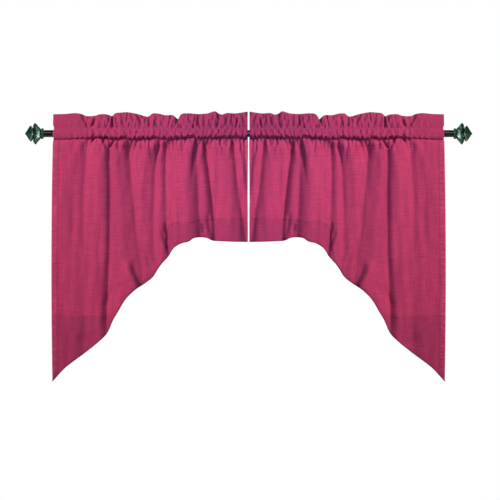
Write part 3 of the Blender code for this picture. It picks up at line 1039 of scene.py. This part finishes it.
def build_finial(name, side, material):
    """A cast head: a round shank, a deep swept plate, a small plate and a hollow-sided pyramid."""
    bm = bmesh.new()
    rubbed = bm.verts.layers.float.new("rubbed")
    ring = set(bmesh.ops.create_circle(
        bm, cap_ends=True, segments=RING_POINTS, radius=1.0,
        matrix=Matrix.Rotation(math.radians(90), 4, "Y"),
    )["verts"])
    shape_round(ring, side * (ROD_HALF_LENGTH + 2 * FIT_GAP), SHANK_RADIUS)
    ring = extrude_ring(bm, ring)
    shape_round(ring, side * FINIAL_SECTIONS[0].at_side, SHANK_RADIUS)
    for section in FINIAL_SECTIONS:
        ring = extrude_ring(bm, ring)
        shape_square(ring, section, side, rubbed)
    bmesh.ops.edgeloop_fill(bm, edges=ring_edges(bm, ring))
    bmesh.ops.scale(bm, vec=(MM, MM, MM), verts=bm.verts)
    bmesh.ops.recalc_face_normals(bm, faces=bm.faces)
    mesh = bpy.data.meshes.new(name)
    bm.to_mesh(mesh)
    bm.free()
    obj = add_object(name, mesh, material)
    obj.data.shade_smooth()
    edges = obj.modifiers.new("Cast edges", "BEVEL")
    edges.width = CAST_EDGE * MM
    edges.segments = 2
    edges.angle_limit = math.radians(EDGE_ANGLE)
    edges.harden_normals = True
    return obj


# ---------------------------------------------------------------- surroundings
def build_floor():
    bm = bmesh.new()
    bmesh.ops.create_circle(bm, cap_ends=True, segments=FLOOR_SIDES, radius=FLOOR_RADIUS)
    bmesh.ops.translate(bm, vec=(0, 0, FLOOR_HEIGHT), verts=bm.verts)
    mesh = bpy.data.meshes.new("floor")
    bm.to_mesh(mesh)
    bm.free()
    material, shader = new_material("Pale floor")
    set_node(shader, in_Base_Color=linear("#e9e7e4"), in_Roughness=0.8)
    add_object("floor", mesh, material)


def build_world():
    """White for the camera, and softer as light."""
    world = bpy.data.worlds.new("Studio white")
    bpy.context.scene.world = world
    world.use_nodes = True
    nodes = world.node_tree.nodes
    light = set_node(nodes["Background"], in_Color=WORLD_TINT, in_Strength=WORLD_STRENGTH)
    white = add_node(world, "ShaderNodeBackground", in_Color=linear("#ffffff"), in_Strength=1.0)
    path = add_node(world, "ShaderNodeLightPath")
    seen = add_node(world, "ShaderNodeMixShader", [
        (path, "Is Camera Ray", "Fac"), (light, "Background", 1), (white, "Background", 2),
    ])
    set_node(nodes["World Output"], [(seen, "Shader", "Surface")])


def add_lamp(name, place, aim, **settings):
    lamp = bpy.data.lights.new(name, "AREA")
    for setting, value in settings.items():
        setattr(lamp, setting, value)
    obj = bpy.data.objects.new(name, lamp)
    obj.location = place
    obj.visible_camera = False
    obj.rotation_euler = (Vector(aim) - Vector(place)).to_track_quat("-Z", "Y").to_euler()
    bpy.context.scene.collection.objects.link(obj)
    return obj


def build_lights(cloth):
    """Lights in mirrored pairs; each leaves out the other side's cloth, so that the pair of
    panels is lit as mirror images too."""
    for light in LIGHTS:
        for side, word in SIDES:
            softbox = add_lamp(
                f"{light.name}_{word}", (side * light.across, -light.forward, light.up),
                (side * light.aim_across, 0.0, light.aim_up), shape="SQUARE", size=light.size,
                energy=light.power, spread=math.radians(light.spread), color=light.colour,
            )
            left_out = bpy.data.collections.new(f"cloth_not_lit_by_{softbox.name}")
            for number, piece in enumerate(cloth[-side]):
                left_out.objects.link(piece)
                left_out.collection_objects[number].light_linking.link_state = "EXCLUDE"
            softbox.light_linking.receiver_collection = left_out


def build_strip(rod):
    """A strip light along the rod, for the rod's gloss only."""
    strip = add_lamp(
        "strip", STRIP_PLACE, (0.0, 0.0, 0.0), shape="RECTANGLE", size=STRIP_SIZE[0],
        size_y=STRIP_SIZE[1], energy=STRIP_POWER,
    )
    lit = bpy.data.collections.new("lit_by_strip")
    lit.objects.link(rod)
    strip.light_linking.receiver_collection = lit


def build_camera():
    camera = bpy.data.cameras.new("camera")
    camera.sensor_width = SENSOR_WIDTH
    camera.lens = SENSOR_WIDTH * -CAMERA_PLACE[1] / VIEW_WIDTH
    obj = bpy.data.objects.new("camera", camera)
    obj.location = CAMERA_PLACE
    obj.rotation_euler = (math.pi / 2, 0.0, 0.0)
    bpy.context.scene.collection.objects.link(obj)
    bpy.context.scene.camera = obj


def main():
    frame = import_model()
    bpy.context.scene.view_settings.view_transform = "Standard"
    build_camera()
    build_world()
    build_floor()
    cloth = chambray()
    thread = sewing_thread()
    enamel = finial_enamel("Rubbed green finial enamel")
    collar_enamel = finial_enamel("Rubbed green collar enamel", evenly=0.5)
    nodes = frame["nodes"]
    nodes["rod"].material_slots[0].material = rod_enamel()
    grid = panel_grid()
    inner, outer = side_hem_columns(grid)
    pieces = {}
    for side, word in SIDES:
        nodes[f"collar_{word}"].material_slots[0].material = collar_enamel
        finial = build_finial(f"finial_head_{word}", side, enamel)
        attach(finial, "root")
        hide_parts(f"finial_{word}")
        panel = build_panel(word, side, grid, cloth)
        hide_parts(f"panel_{word}")
        sewn_on = [
            build_turned_hem(word, side, grid, cloth),
            build_side_hem(f"outer_side_hem_{word}", side, grid, slice(outer - 1, None), cloth),
            build_side_hem(f"inner_side_hem_{word}", side, grid, slice(0, inner + 2), cloth),
            build_stitches(word, side, grid, thread),
        ]
        pieces[side] = [panel] + sewn_on
        for piece in pieces[side]:
            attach(piece, "root")
    build_lights(pieces)
    build_strip(nodes["rod"])


main()
